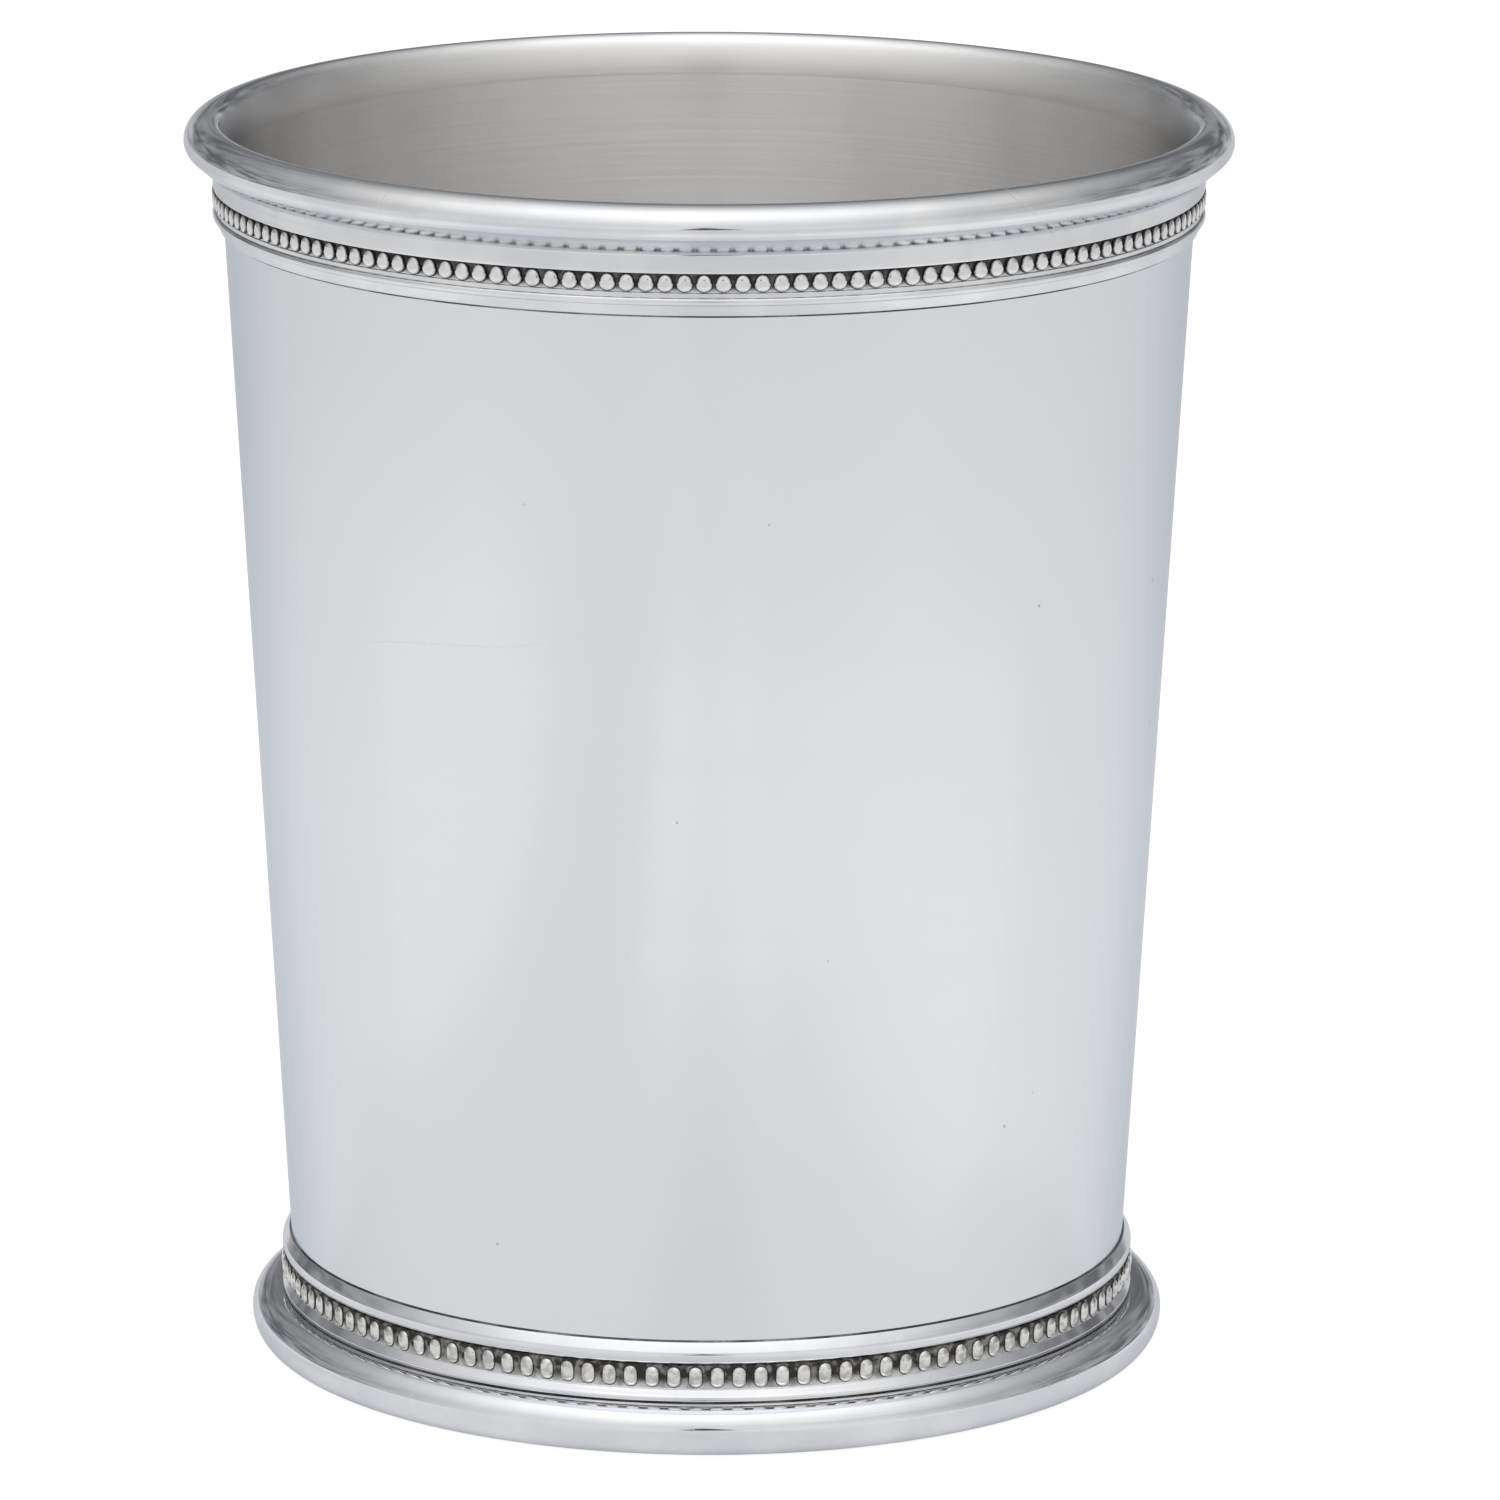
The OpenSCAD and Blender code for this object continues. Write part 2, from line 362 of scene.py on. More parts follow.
# Brushed inside
INSIDE_FINE = (45.0, 3600.0)
INSIDE_BROAD = (10.0, 300.0)
INSIDE_PATCHES = 40.0
INSIDE_PATCH_RANGE = (0.35, 0.75, 0.0, 0.5)
INSIDE_PATCH = (0.96, 0.948, 0.93)
INSIDE_DARK = (0.935, 0.922, 0.906)
INSIDE_LIGHT = (0.99, 0.982, 0.968)
INSIDE_ROUGH = (0.33, 0.39)
INSIDE_DRIFT = 0.03
INSIDE_BANDS = 90.0
INSIDE_BAND_RANGE = (0.5, 0.68, 0.0, 0.7)
INSIDE_BAND = (0.90, 0.872, 0.85)
BAND_RISE = 0.1
BAND_DETAIL = 1.0
INSIDE_DRAW = 0.95
INSIDE_TURN = 0.25
INSIDE_EDGE = (0.68, 0.68, 0.68, 1.0)
INSIDE_WEIGHTS = (0.8, 0.6)
INSIDE_DEPTH = 0.00002

# Polish on lip, mouldings and foot roll
POLISH_COOL = (0.855, 0.862, 0.88)
POLISH_WARM = (0.955, 0.957, 0.962)
FOOT_COOL = (0.865, 0.878, 0.91)
FOOT_WARM = (0.96, 0.966, 0.976)
POLISH_WIPE = (50.0, 3000.0)
POLISH_WAVES = 90.0
POLISH_WAVE_DETAIL = 1.0
POLISH_FILM = 160.0
POLISH_FILM_DETAIL = 3.0
POLISH_FILM_RANGE = (0.35, 0.7)
POLISH_SCRATCHES = (60.0, 0.003, 0.5)
STREAKS = (30.0, 1400.0)
STREAK_RANGE = (0.52, 0.74, 0.0, 0.5)
STREAK = (0.74, 0.745, 0.755)
FILM_ROUGH = (0.3, 0.75, 0.09, 0.05)
WIPE_ROUGH = (0.3, 0.8, 0.0, 0.03)
POLISH_SCRATCH_ROUGH = 0.15
POLISH_EDGE = (0.79, 0.805, 0.83, 1.0)
POLISH_WEIGHTS = (1.0, 0.12, -0.2)
POLISH_DEPTH = 0.00002
FLARE_FULL = 38.9
FLARE_END = 39.8

# Painted shade on top of the foot roll: a ragged brown band under the moulding, where the bead row's dark
# reflection falls
SHADE_BAND_FULL = 35.15
SHADE_BAND_END = 35.5
SHADE_BAND_DEEP = 0.3
SHADE_BAND_RAG = 420.0
SHADE_BAND_RAG_DETAIL = 3.0
SHADE_BAND_WANDER = 0.0002
SHADE_BAND_MOST = 0.35
PAINTED_SHADE_BROWN = (0.52, 0.43, 0.33)
SHADE_BAND_ROUGH = 0.3

# Beads and solder
WIRE_SKIN = 0.003
# Painted light on the bead wire: lighter towards the bottom of each channel, most at the bottom, none
# above these heights
LIT_MOST = 0.92
RIM_LIT_Z = 95.05
FOOT_LIT_Z = 5.95
BEAD_GRAIN = 1400.0
BEAD_GRAIN_DETAIL = 3.0
CROWN_RANGE = (0.36, 0.58)
WIRE_RANGE = (0.42, 0.66)
BEAD_WANDER = 0.00001
BEAD_ROUGH = (0.42, 0.12)
BEAD_DEPTH = 0.000004
SOLDER_RUNS = 220.0
SOLDER_RUN_DETAIL = 3.0
SOLDER_RUN_RANGE = (0.42, 0.68)
SOLDER_GRAIN = 2600.0
SOLDER_GRAIN_RANGE = (0.45, 0.75, 0.0, 0.6)
SOLDER_ROUGH = (0.55, 0.38)
SOLDER_DEPTH = 0.00003


def add(tree, kind, **settings):
    """A new node with its settings."""
    node = tree.nodes.new(kind)
    for key, value in settings.items():
        setattr(node, key, value)
    return node


def number(tree, operation, first, second):
    """A Math node on two sockets or numbers."""
    node = add(tree, "ShaderNodeMath", operation=operation)
    for socket, value in zip(node.inputs, (first, second)):
        if isinstance(value, bpy.types.NodeSocket):
            tree.links.new(value, socket)
        else:
            socket.default_value = value
    return node.outputs[0]


def weighed(tree, values, weights):
    """The sum of values, each times its weight."""
    total = 0.0
    for value, weight in zip(values, weights):
        total = number(tree, "ADD", number(tree, "MULTIPLY", value, weight), total)
    return total


def between(tree, value, from_low, from_high, to_low=0.0, to_high=1.0):
    """A value taken smoothly from one range to another."""
    node = add(tree, "ShaderNodeMapRange", interpolation_type="SMOOTHSTEP", clamp=True)
    tree.links.new(value, node.inputs["Value"])
    node.inputs["From Min"].default_value = from_low
    node.inputs["From Max"].default_value = from_high
    node.inputs["To Min"].default_value = to_low
    node.inputs["To Max"].default_value = to_high
    return node.outputs["Result"]


def blend_colour(tree, share, first, second):
    """Two colours mixed by a share; each is a socket or a colour."""
    node = add(tree, "ShaderNodeMix", data_type="RGBA")
    for socket, value in zip((node.inputs[0], node.inputs[6], node.inputs[7]), (share, first, second)):
        if isinstance(value, tuple):
            socket.default_value = (*value, 1.0)
        else:
            tree.links.new(value, socket)
    return node.outputs[2]


def metal(name):
    """A new metal, with its tree, its shader and the place of each point on the cup."""
    material = bpy.data.materials.new(name)
    material.use_nodes = True
    tree = material.node_tree
    shader = tree.nodes["Principled BSDF"]
    shader.inputs["Metallic"].default_value = 1.0
    place = add(tree, "ShaderNodeTexCoord").outputs["Object"]
    return material, tree, shader, place


def radius_of(tree, place):
    """Distance from the cup's axis, in metres."""
    level = add(tree, "ShaderNodeVectorMath", operation="MULTIPLY")
    tree.links.new(place, level.inputs[0])
    level.inputs[1].default_value = (1.0, 1.0, 0.0)
    length = add(tree, "ShaderNodeVectorMath", operation="LENGTH")
    tree.links.new(level.outputs[0], length.inputs[0])
    return length.outputs["Value"]


def height_of(tree, place):
    """Height above the table, in metres."""
    split = add(tree, "ShaderNodeSeparateXYZ")
    tree.links.new(place, split.inputs[0])
    return split.outputs["Z"]


def lathe_marks(tree, place, along, across):
    """Fine lines that run round the cup: noise drawn out along them and close across them."""
    stretch = add(tree, "ShaderNodeMapping")
    tree.links.new(place, stretch.inputs["Vector"])
    stretch.inputs["Scale"].default_value = (along, along, across)
    noise = add(tree, "ShaderNodeTexNoise", noise_dimensions="4D")
    tree.links.new(stretch.outputs[0], noise.inputs["Vector"])
    tree.links.new(number(tree, "MULTIPLY", radius_of(tree, place), across), noise.inputs["W"])
    noise.inputs["Scale"].default_value = 1.0
    noise.inputs["Detail"].default_value = NOISE_DETAIL
    return noise.outputs["Fac"]


def clouds(tree, place, scale, detail=NOISE_DETAIL):
    """Soft uneven patches."""
    noise = add(tree, "ShaderNodeTexNoise")
    tree.links.new(place, noise.inputs["Vector"])
    noise.inputs["Scale"].default_value = scale
    noise.inputs["Detail"].default_value = detail
    return noise.outputs["Fac"]


def pits(tree, place, scale, size, share):
    """Sparse specks: 1 in a speck, 0 elsewhere. Share is how many cells have one."""
    cells = add(tree, "ShaderNodeTexVoronoi")
    tree.links.new(place, cells.inputs["Vector"])
    cells.inputs["Scale"].default_value = scale
    dot = between(tree, cells.outputs["Distance"], size / 2, size, 1.0, 0.0)
    pick = add(tree, "ShaderNodeSeparateColor")
    tree.links.new(cells.outputs["Color"], pick.inputs[0])
    chosen = number(tree, "GREATER_THAN", pick.outputs[0], 1.0 - share)
    return number(tree, "MULTIPLY", dot, chosen)


def upright_bands(tree, place, scale):
    """Soft bands that run up the wall."""
    drawn_up = add(tree, "ShaderNodeMapping")
    tree.links.new(place, drawn_up.inputs["Vector"])
    drawn_up.inputs["Scale"].default_value = (1.0, 1.0, BAND_RISE)
    return clouds(tree, drawn_up.outputs[0], scale, BAND_DETAIL)


def hairlines(tree, place, scale, width, cover):
    """Thin wandering scratches in a few patches: 1 on a scratch, 0 elsewhere."""
    field = clouds(tree, place, scale, 0.0)
    off = number(tree, "ABSOLUTE", number(tree, "SUBTRACT", field, 0.5), 0.0)
    line = between(tree, off, width * SCRATCH_CORE, width, 1.0, 0.0)
    spread = clouds(tree, place, scale * SCRATCH_PATCHES + SCRATCH_SHIFT, 1.0)
    patch = between(tree, spread, 1.0 - cover, 1.0 - cover + SCRATCH_EDGE)
    return number(tree, "MULTIPLY", line, patch)


def relief(tree, shader, height, depth):
    """Puts a height between 0 and 1 on the surface as fine relief of a depth in metres."""
    bump = add(tree, "ShaderNodeBump")
    bump.inputs["Strength"].default_value = 1.0
    bump.inputs["Distance"].default_value = depth
    tree.links.new(height, bump.inputs["Height"])
    tree.links.new(bump.outputs[0], shader.inputs["Normal"])


def draw_round(shader):
    """Draws the highlights out across the brushing that runs round the cup."""
    shader.inputs["Anisotropic"].default_value = INSIDE_DRAW
    shader.inputs["Anisotropic Rotation"].default_value = INSIDE_TURN


def satin_outside():
    """The wall outside: even satin, finely brushed round, with a few pits and hairlines."""
    material, tree, shader, place = metal("satin_outside")
    fine = lathe_marks(tree, place, *SATIN_FINE)
    broad = lathe_marks(tree, place, *SATIN_BROAD)
    patches = clouds(tree, place, SATIN_PATCHES)
    specks = pits(tree, place, *SATIN_PITS)
    scratches = hairlines(tree, place, *SATIN_SCRATCHES)
    glint = between(tree, fine, *NOISE_MIDDLE, 0.0, SATIN_GLINT_MOST)
    tone = blend_colour(tree, between(tree, patches, *NOISE_MIDDLE), SATIN_DIM, SATIN_LIGHT)
    tone = blend_colour(tree, glint, tone, SATIN_GLINT)
    tone = blend_colour(tree, number(tree, "MULTIPLY", specks, SATIN_PIT_SHARE), tone, SATIN_PIT)
    tree.links.new(tone, shader.inputs["Base Color"])
    drift = between(tree, broad, *NOISE_MIDDLE, -SATIN_DRIFT, SATIN_DRIFT)
    rough = number(tree, "ADD", between(tree, fine, *NOISE_MOST, *SATIN_ROUGH), drift)
    rough = number(tree, "ADD", rough, number(tree, "MULTIPLY", scratches, SATIN_SCRATCH_ROUGH))
    tree.links.new(rough, shader.inputs["Roughness"])
    shader.inputs["Specular Tint"].default_value = SATIN_EDGE
    height = weighed(tree, (fine, patches, specks, scratches), SATIN_WEIGHTS)
    relief(tree, shader, height, SATIN_DEPTH)
    return material


def brushed_inside():
    """The wall inside and the floor: coarser brushing round, a little warm and dull."""
    material, tree, shader, place = metal("brushed_inside")
    fine = lathe_marks(tree, place, *INSIDE_FINE)
    broad = lathe_marks(tree, place, *INSIDE_BROAD)
    patches = between(tree, clouds(tree, place, INSIDE_PATCHES), *INSIDE_PATCH_RANGE)
    bands = between(tree, upright_bands(tree, place, INSIDE_BANDS), *INSIDE_BAND_RANGE)
    tone = blend_colour(tree, between(tree, fine, *NOISE_MIDDLE), INSIDE_DARK, INSIDE_LIGHT)
    tone = blend_colour(tree, patches, tone, INSIDE_PATCH)
    tone = blend_colour(tree, bands, tone, INSIDE_BAND)
    tree.links.new(tone, shader.inputs["Base Color"])
    drift = between(tree, broad, *NOISE_MIDDLE, -INSIDE_DRIFT, INSIDE_DRIFT)
    rough = number(tree, "ADD", between(tree, fine, *NOISE_MOST, *INSIDE_ROUGH), drift)
    tree.links.new(rough, shader.inputs["Roughness"])
    draw_round(shader)
    shader.inputs["Specular Tint"].default_value = INSIDE_EDGE
    relief(tree, shader, weighed(tree, (fine, broad), INSIDE_WEIGHTS), INSIDE_DEPTH)
    return material


def polished_metal(name, cool, warm):
    """Polished silver with faint waves and wiping marks; also its colour and roughness sockets."""
    material, tree, shader, place = metal(name)
    wipe = lathe_marks(tree, place, *POLISH_WIPE)
    waves = clouds(tree, place, POLISH_WAVES, POLISH_WAVE_DETAIL)
    film = clouds(tree, place, POLISH_FILM, POLISH_FILM_DETAIL)
    scratches = hairlines(tree, place, *POLISH_SCRATCHES)
    streaks = between(tree, lathe_marks(tree, place, *STREAKS), *STREAK_RANGE)
    tone = blend_colour(tree, between(tree, film, *POLISH_FILM_RANGE), cool, warm)
    tone = blend_colour(tree, streaks, tone, STREAK)
    tree.links.new(tone, shader.inputs["Base Color"])
    rough = number(tree, "ADD", between(tree, film, *FILM_ROUGH), between(tree, wipe, *WIPE_ROUGH))
    rough = number(tree, "ADD", rough, number(tree, "MULTIPLY", scratches, POLISH_SCRATCH_ROUGH))
    tree.links.new(rough, shader.inputs["Roughness"])
    shader.inputs["Specular Tint"].default_value = POLISH_EDGE
    relief(tree, shader, weighed(tree, (waves, wipe, scratches), POLISH_WEIGHTS), POLISH_DEPTH)
    return material, tree, shader, place, tone, rough


def polished_lip():
    """The lip: polished over the crest, brushed like the wall on the flare inside it."""
    material, tree, shader, place, tone, rough = polished_metal("polished_lip", POLISH_COOL, POLISH_WARM)
    flare = between(tree, radius_of(tree, place), FLARE_FULL * MM, FLARE_END * MM, 1.0, 0.0)
    brushing = lathe_marks(tree, place, *INSIDE_FINE)
    dull = blend_colour(tree, between(tree, brushing, *NOISE_MIDDLE), INSIDE_DARK, INSIDE_LIGHT)
    tree.links.new(blend_colour(tree, flare, tone, dull), shader.inputs["Base Color"])
    soft = number(tree, "MULTIPLY", flare, between(tree, brushing, *NOISE_MOST, *INSIDE_ROUGH))
    tree.links.new(number(tree, "MAXIMUM", rough, soft), shader.inputs["Roughness"])
    draw_round(shader)
    return material


def polished_foot():
    """The foot roll: polished, with a ragged brown band of painted shade under the moulding, standing in
    for the bead row's dark reflection.
    """
    material, tree, shader, place, tone, rough = polished_metal("polished_foot", FOOT_COOL, FOOT_WARM)
    rag = clouds(tree, place, SHADE_BAND_RAG, SHADE_BAND_RAG_DETAIL)
    wander = between(tree, rag, *NOISE_MIDDLE, -SHADE_BAND_WANDER, SHADE_BAND_WANDER)
    edge = number(tree, "ADD", radius_of(tree, place), wander)
    near = between(tree, edge, SHADE_BAND_FULL * MM, SHADE_BAND_END * MM, SHADE_BAND_MOST, 0.0)
    top = between(tree, height_of(tree, place), (ROLL_TOP_Z - SHADE_BAND_DEEP) * MM, ROLL_TOP_Z * MM)
    # Painted shade: the roll's top is painted brown under the moulding, in place of the bead row's dark
    # reflection.
    painted_shade = number(tree, "MULTIPLY", near, top)
    tree.links.new(blend_colour(tree, painted_shade, tone, PAINTED_SHADE_BROWN), shader.inputs["Base Color"])
    rough = number(tree, "ADD", rough, number(tree, "MULTIPLY", painted_shade, SHADE_BAND_ROUGH))
    tree.links.new(rough, shader.inputs["Roughness"])
    return material


def oxidised_beads(name, wire_r, low_z, lit_z, ground, patchy, root, worn_from, dim, bright):
    """A bead row: bright beads, dark oxide round their roots, and a patchy wire between them, painted
    lighter low in the channel as painted light.
    """
    material, tree, shader, place = metal(name)
    grain = clouds(tree, place, BEAD_GRAIN, BEAD_GRAIN_DETAIL)
    r = radius_of(tree, place)
    bare = between(tree, r, (wire_r + WIRE_SKIN) * MM, (wire_r + 3 * WIRE_SKIN) * MM)
    crown = blend_colour(tree, between(tree, grain, *CROWN_RANGE), dim, bright)
    wire = blend_colour(tree, between(tree, grain, *WIRE_RANGE), ground, patchy)
    # Painted light: low in the channel the wire is painted towards the crown's colour, as if lit from
    # above.
    lit = between(tree, height_of(tree, place), low_z * MM, lit_z * MM, LIT_MOST, 0.0)
    dull = blend_colour(tree, bare, blend_colour(tree, lit, wire, crown), root)
    r = number(tree, "ADD", r, between(tree, grain, *NOISE_MOST, -BEAD_WANDER, BEAD_WANDER))
    worn = between(tree, r, (wire_r + worn_from / 2) * MM, (wire_r + worn_from) * MM)
    tree.links.new(blend_colour(tree, worn, dull, crown), shader.inputs["Base Color"])
    tree.links.new(between(tree, worn, 0.0, 1.0, *BEAD_ROUGH), shader.inputs["Roughness"])
    relief(tree, shader, grain, BEAD_DEPTH)
    return material


def dull_solder(name, dark, bright):
    """A soldered seam: dull, with brighter runs where the buff reached."""
    material, tree, shader, place = metal(name)
    runs = clouds(tree, place, SOLDER_RUNS, SOLDER_RUN_DETAIL)
    grain = clouds(tree, place, SOLDER_GRAIN)
    tone = blend_colour(tree, between(tree, runs, *SOLDER_RUN_RANGE), dark, bright)
    tone = blend_colour(tree, between(tree, grain, *SOLDER_GRAIN_RANGE), tone, dark)
    tree.links.new(tone, shader.inputs["Base Color"])
    tree.links.new(between(tree, runs, *NOISE_MIDDLE, *SOLDER_ROUGH), shader.inputs["Roughness"])
    relief(tree, shader, grain, SOLDER_DEPTH)
    return material


# Camera, floor and light; lengths here are in metres, angles in radians
CAMERA_PLACE = (0.0, -0.7826, 0.2379)
CAMERA_PITCH = 0.2370
CAMERA_YAW = 0.0044
CAMERA_ROLL = 0.0033
CAMERA_LENS = 236.1
CAMERA_SENSOR = 36.0
CAMERA_NEAR = 0.01
CAMERA_FAR = 20.0
FLOOR_REACH = 4.0
FLOOR_SIDES = 128
FLOOR_DROP = 0.00004
FLOOR_COLOUR = (0.535, 0.538, 0.546, 1.0)
FLOOR_LIFT = 0.385
FLOOR_WHITE = 0.37
# Painted shade: as reflections see it, the floor's glow dims between these two distances, by so much
FLOOR_FADE_FROM = 0.16
FLOOR_FADE_TO = 0.40
FLOOR_FADE = -0.11
FILL_SOFT = 0.006

# Patches of painted light and painted shadow on the floor's glow, as reflections see it: left, right,
# near, far, gain
FILLS = (
    (-0.10, 0.075, -0.125, 0.0, -0.065),
    (-0.115, -0.04, -0.26, -0.125, -0.045),
    (-0.04, 0.04, -0.24, -0.125, 0.045),
    (0.05, 0.22, -0.195, -0.04, 0.045),
    (-0.24, -0.115, -0.18, -0.03, 0.045),
    (-0.012, 0.014, -0.40, 0.0, -0.035))

# The tent, from the level of the table to overhead: share of the way, light
TENT_AXIS = (-0.045, 0.0, 0.999)
TENT_STOPS = (
    (0.0, (0.235, 0.237, 0.243)),
    (0.26, (0.205, 0.207, 0.213)),
    (0.42, (0.225, 0.226, 0.231)),
    (0.57, (0.335, 0.336, 0.339)),
    (0.71, (0.48, 0.48, 0.482)),
    (0.82, (0.64, 0.64, 0.64)),
    (0.906, (0.80, 0.80, 0.80)),
    (0.966, (0.95, 0.95, 0.95)),
    (1.0, (1.03, 1.03, 1.03)))

# Uneven light at the sides, a glow low behind, and more light in front
ROOM_SCALE = 6.0
ROOM_NOISE = (0.36, 0.64)
ROOM_DRAW = (1.0, 1.0, 2.2)
ROOM_LOW = -0.10
ROOM_HIGH = 0.17
ROOM_FROM = 0.35
ROOM_FULL = -0.15
ROOM_TOP = 0.75
GLOW_FROM = -0.70
GLOW_FULL = -0.95
GLOW_LOW = 0.06
GLOW_TOP = 0.17
GLOW_GAIN = 0.22
FRONT_AIM = (-0.07, -0.9975, 0.0)
FRONT_FROM = -0.6
FRONT_FULL = 0.95
FRONT_GAIN = 0.52

# Grey wedge behind the camera
CARD_PLACE = (0.0025, -1.2, 0.21)
CARD_SIZE = (0.17, 0.175)
CARD_TILT = 0.4
CARD_COLOUR = (0.05, 0.05, 0.055, 1.0)
CARD_ROUGH = 0.9


def set_camera():
    """The camera at the photograph's place and angle."""
    bpy.ops.object.camera_add()
    camera = bpy.context.object
    camera.name = "photo_camera"
    camera.data.sensor_width = CAMERA_SENSOR
    camera.data.lens = CAMERA_LENS
    camera.data.clip_start = CAMERA_NEAR
    camera.data.clip_end = CAMERA_FAR
    camera.matrix_world = (
        Matrix.Translation(CAMERA_PLACE)
        @ Matrix.Rotation(-CAMERA_YAW, 4, "Z")
        @ Matrix.Rotation(math.pi / 2 - CAMERA_PITCH, 4, "X")
        @ Matrix.Rotation(CAMERA_ROLL, 4, "Z"))
    bpy.context.scene.camera = camera


def soft_patch(tree, across, away, left, right, near, far):
    """A soft-edged rectangle on the floor: 1 inside it, 0 outside."""
    share = 1.0
    for value, start, end in ((across, left, right), (away, near, far)):
        rise = between(tree, value, start - FILL_SOFT, start + FILL_SOFT)
        fall = between(tree, value, end - FILL_SOFT, end + FILL_SOFT, 1.0, 0.0)
        share = number(tree, "MULTIPLY", number(tree, "MULTIPLY", rise, fall), share)
    return share


def seen_share(tree):
    """Light that the floor adds for rays that show it: even for the camera; for reflections, dimmer
    further out and patchy with painted light and painted shadow.
    """
    path = add(tree, "ShaderNodeLightPath")
    split = add(tree, "ShaderNodeSeparateXYZ")
    place = add(tree, "ShaderNodeTexCoord").outputs["Object"]
    tree.links.new(place, split.inputs[0])
    away = radius_of(tree, place)
    fade = between(tree, away, FLOOR_FADE_FROM, FLOOR_FADE_TO, 0.0, FLOOR_FADE)
    patches = number(tree, "ADD", fade, FLOOR_LIFT)
    for left, right, near, far, gain in FILLS:
        patch = soft_patch(tree, split.outputs["X"], split.outputs["Y"], left, right, near, far)
        patches = number(tree, "ADD", number(tree, "MULTIPLY", patch, gain), patches)
    mirrored = number(tree, "MAXIMUM", path.outputs["Is Glossy Ray"], path.outputs["Is Transmission Ray"])
    mirrored = number(tree, "MULTIPLY", mirrored, patches)
    direct = number(tree, "MULTIPLY", path.outputs["Is Camera Ray"], FLOOR_LIFT + FLOOR_WHITE)
    return number(tree, "MAXIMUM", mirrored, direct)


def lay_floor():
    """A plain pale floor that shows white and keeps the cup's shadow."""
    bpy.ops.object.select_all(action="DESELECT")
    bpy.ops.mesh.primitive_circle_add(
        vertices=FLOOR_SIDES, radius=FLOOR_REACH, fill_type="NGON", location=(0.0, 0.0, -FLOOR_DROP))
    floor = bpy.context.object
    floor.name = "studio_floor"
    material = bpy.data.materials.new("pale_floor")
    material.use_nodes = True
    tree = material.node_tree
    tree.nodes.clear()
    paint = add(tree, "ShaderNodeBsdfDiffuse")
    paint.inputs["Color"].default_value = FLOOR_COLOUR
    glow = add(tree, "ShaderNodeEmission")
    tree.links.new(seen_share(tree), glow.inputs["Strength"])
    both = add(tree, "ShaderNodeAddShader")
    tree.links.new(paint.outputs[0], both.inputs[0])
    tree.links.new(glow.outputs[0], both.inputs[1])
    out = add(tree, "ShaderNodeOutputMaterial")
    tree.links.new(both.outputs[0], out.inputs["Surface"])
    floor.data.materials.append(material)


def stand_card():
    """A small grey wedge behind the camera, for the short dark lines in the polished rolls."""
    bpy.ops.object.select_all(action="DESELECT")
    bpy.ops.mesh.primitive_circle_add(
        vertices=3, radius=1.0, fill_type="NGON", location=CARD_PLACE,
        rotation=(math.pi / 2, math.pi / 2 + CARD_TILT, 0.0))
    card = bpy.context.object
    card.name = "grey_wedge"
    card.scale = (*CARD_SIZE, 1.0)
    material = bpy.data.materials.new("grey_felt")
    material.use_nodes = True
    shader = material.node_tree.nodes["Principled BSDF"]
    shader.inputs["Base Color"].default_value = CARD_COLOUR
    shader.inputs["Roughness"].default_value = CARD_ROUGH
    card.data.materials.append(material)


def along_axis(tree, direction, axis):
    """How far a direction runs along an axis."""
    node = add(tree, "ShaderNodeVectorMath", operation="DOT_PRODUCT")
    tree.links.new(direction, node.inputs[0])
    node.inputs[1].default_value = axis
    return node.outputs["Value"]


def light_studio():
    """A soft tent: brightest overhead and in front, dim low behind."""
    world = bpy.data.worlds.new("studio_tent")
    bpy.context.scene.world = world
    world.use_nodes = True
    tree = world.node_tree
    tree.nodes.clear()
    direction = add(tree, "ShaderNodeTexCoord").outputs["Generated"]
    ramp = add(tree, "ShaderNodeValToRGB")
    tree.links.new(along_axis(tree, direction, TENT_AXIS), ramp.inputs[0])
    stops = ramp.color_ramp.elements
    stops.remove(stops[1])
    stops[0].position = TENT_STOPS[0][0]
    stops[0].color = (*TENT_STOPS[0][1], 1.0)
    for position, colour in TENT_STOPS[1:]:
        stops.new(position).color = (*colour, 1.0)
    ahead = along_axis(tree, direction, FRONT_AIM)
    rise = along_axis(tree, direction, UP)
    front = between(tree, ahead, FRONT_FROM, FRONT_FULL, 0.0, FRONT_GAIN)
    behind = between(tree, ahead, GLOW_FROM, GLOW_FULL, 0.0, GLOW_GAIN)
    low = between(tree, rise, GLOW_LOW, GLOW_TOP, 1.0, 0.0)
    extra = number(tree, "ADD", front, number(tree, "MULTIPLY", behind, low))
    drawn_out = add(tree, "ShaderNodeVectorMath", operation="MULTIPLY")
    tree.links.new(direction, drawn_out.inputs[0])
    drawn_out.inputs[1].default_value = ROOM_DRAW
    streaks = clouds(tree, drawn_out.outputs[0], ROOM_SCALE)
    room = between(tree, streaks, *ROOM_NOISE, ROOM_LOW, ROOM_HIGH)
    aside = between(tree, ahead, ROOM_FROM, ROOM_FULL)
    below = between(tree, rise, 0.0, ROOM_TOP, 1.0, 0.0)
    room = number(tree, "MULTIPLY", number(tree, "MULTIPLY", aside, below), room)
    extra = number(tree, "ADD", extra, room)
    light = add(tree, "ShaderNodeVectorMath", operation="ADD")
    tree.links.new(ramp.outputs[0], light.inputs[0])
    tree.links.new(extra, light.inputs[1])
    tent = add(tree, "ShaderNodeBackground")
    tree.links.new(light.outputs[0], tent.inputs["Color"])
    white = add(tree, "ShaderNodeBackground")
    white.inputs["Color"].default_value = (1.0, 1.0, 1.0, 1.0)
    mix = add(tree, "ShaderNodeMixShader")
    tree.links.new(add(tree, "ShaderNodeLightPath").outputs["Is Camera Ray"], mix.inputs[0])
    tree.links.new(tent.outputs[0], mix.inputs[1])
    tree.links.new(white.outputs[0], mix.inputs[2])
    out = add(tree, "ShaderNodeOutputWorld")
    tree.links.new(mix.outputs[0], out.inputs["Surface"])


# Pieces

